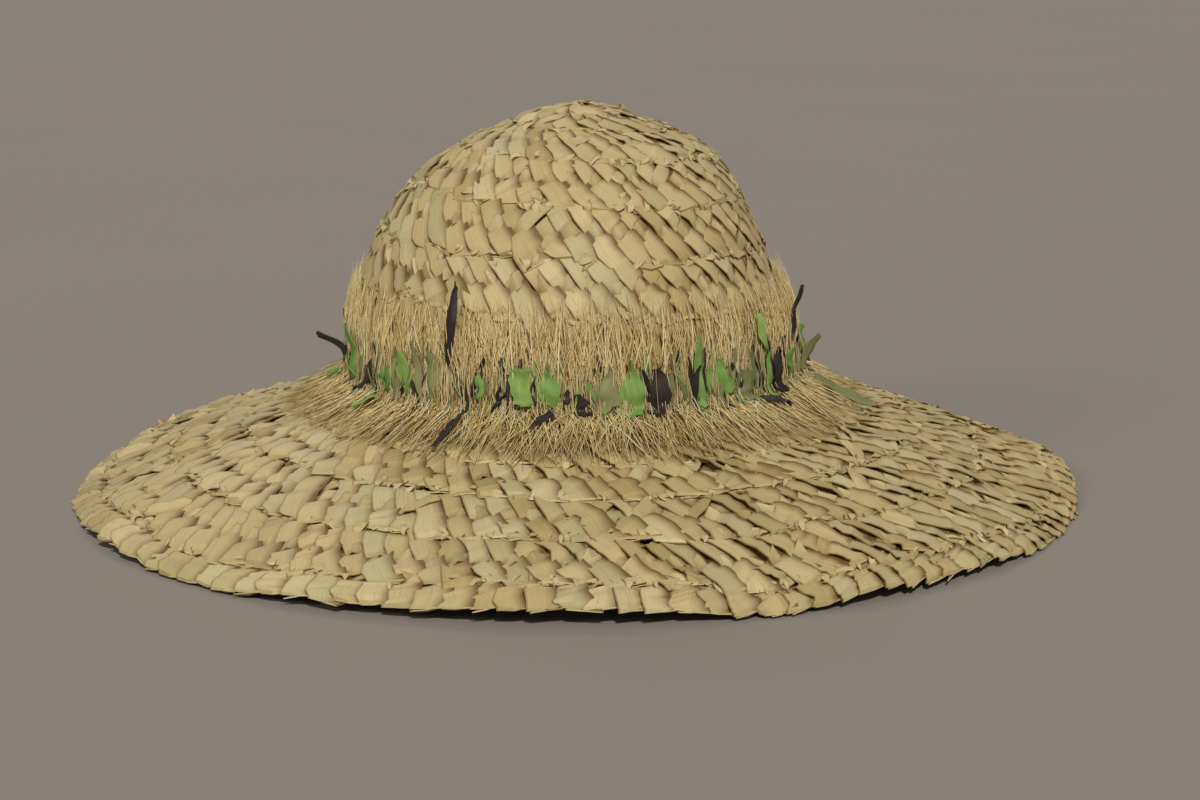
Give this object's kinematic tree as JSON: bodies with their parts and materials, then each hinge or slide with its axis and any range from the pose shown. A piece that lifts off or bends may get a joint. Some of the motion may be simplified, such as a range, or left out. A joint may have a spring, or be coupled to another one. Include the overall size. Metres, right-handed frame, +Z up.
{
  "type": "capeline hat",
  "caption": "Wide-brimmed sun hat of plaited straw braid, with a high soft crown and a band of loose fibres and coloured leaf strips.",
  "frame": {"origin": "on the floor plane that the rim rests on, in the middle of the rim's outline", "axes": "+Z up through the crown; the front of the hat faces -Y, and +X is to the right of someone who looks at its front"},
  "size_m": [0.4501, 0.45, 0.1756],
  "materials": {
    "straw": "plaited dry palm leaf, silky on the ribs, matt in the folds",
    "fibre": "fine dry fibres, slightly glossy",
    "thread": "thin pale twisted thread",
    "leaf_green": "dyed leaf strip, soft sheen",
    "leaf_olive": "dyed leaf strip, grey-green, dull",
    "leaf_dark": "dyed leaf strip, nearly black, soft sheen"
  },
  "bodies": {
    "root": {"crown": "straw", "brim": "straw", "rim_braid": "straw", "fringe_band": "fibre", "tie_thread_upper": "thread", "tie_thread_lower": "thread", "leaf_strip_green_01": "leaf_green", "leaf_strip_dark_02": "leaf_dark", "leaf_strip_green_03": "leaf_green", "leaf_strip_dark_04": "leaf_dark", "leaf_strip_green_05": "leaf_green", "leaf_strip_green_06": "leaf_green", "leaf_strip_green_07": "leaf_green", "leaf_strip_olive_08": "leaf_olive", "leaf_strip_dark_09": "leaf_dark", "leaf_strip_dark_10": "leaf_dark", "leaf_strip_green_11": "leaf_green", "leaf_strip_dark_12": "leaf_dark", "leaf_strip_green_13": "leaf_green", "leaf_strip_dark_14": "leaf_dark", "leaf_strip_green_15": "leaf_green", "leaf_strip_dark_16": "leaf_dark", "leaf_strip_dark_17": "leaf_dark", "leaf_strip_olive_18": "leaf_olive", "leaf_strip_green_19": "leaf_green", "leaf_strip_dark_20": "leaf_dark", "leaf_strip_green_21": "leaf_green", "leaf_strip_green_22": "leaf_green", "leaf_strip_olive_23": "leaf_olive", "leaf_strip_dark_24": "leaf_dark", "leaf_strip_green_25": "leaf_green", "leaf_strip_dark_26": "leaf_dark", "leaf_strip_green_27": "leaf_green", "leaf_strip_dark_28": "leaf_dark", "leaf_strip_olive_29": "leaf_olive", "leaf_strip_olive_30": "leaf_olive", "leaf_strip_green_31": "leaf_green", "leaf_strip_dark_32": "leaf_dark", "leaf_strip_olive_33": "leaf_olive", "leaf_strip_green_34": "leaf_green", "leaf_strip_dark_35": "leaf_dark", "leaf_strip_green_36": "leaf_green", "leaf_strip_dark_37": "leaf_dark", "leaf_strip_olive_38": "leaf_olive", "leaf_strip_green_39": "leaf_green", "leaf_strip_dark_40": "leaf_dark", "leaf_strip_green_41": "leaf_green", "leaf_strip_dark_42": "leaf_dark", "leaf_strip_olive_43": "leaf_olive", "leaf_strip_green_44": "leaf_green", "leaf_strip_dark_45": "leaf_dark", "leaf_strip_green_46": "leaf_green"}
  },
  "joints": []
}
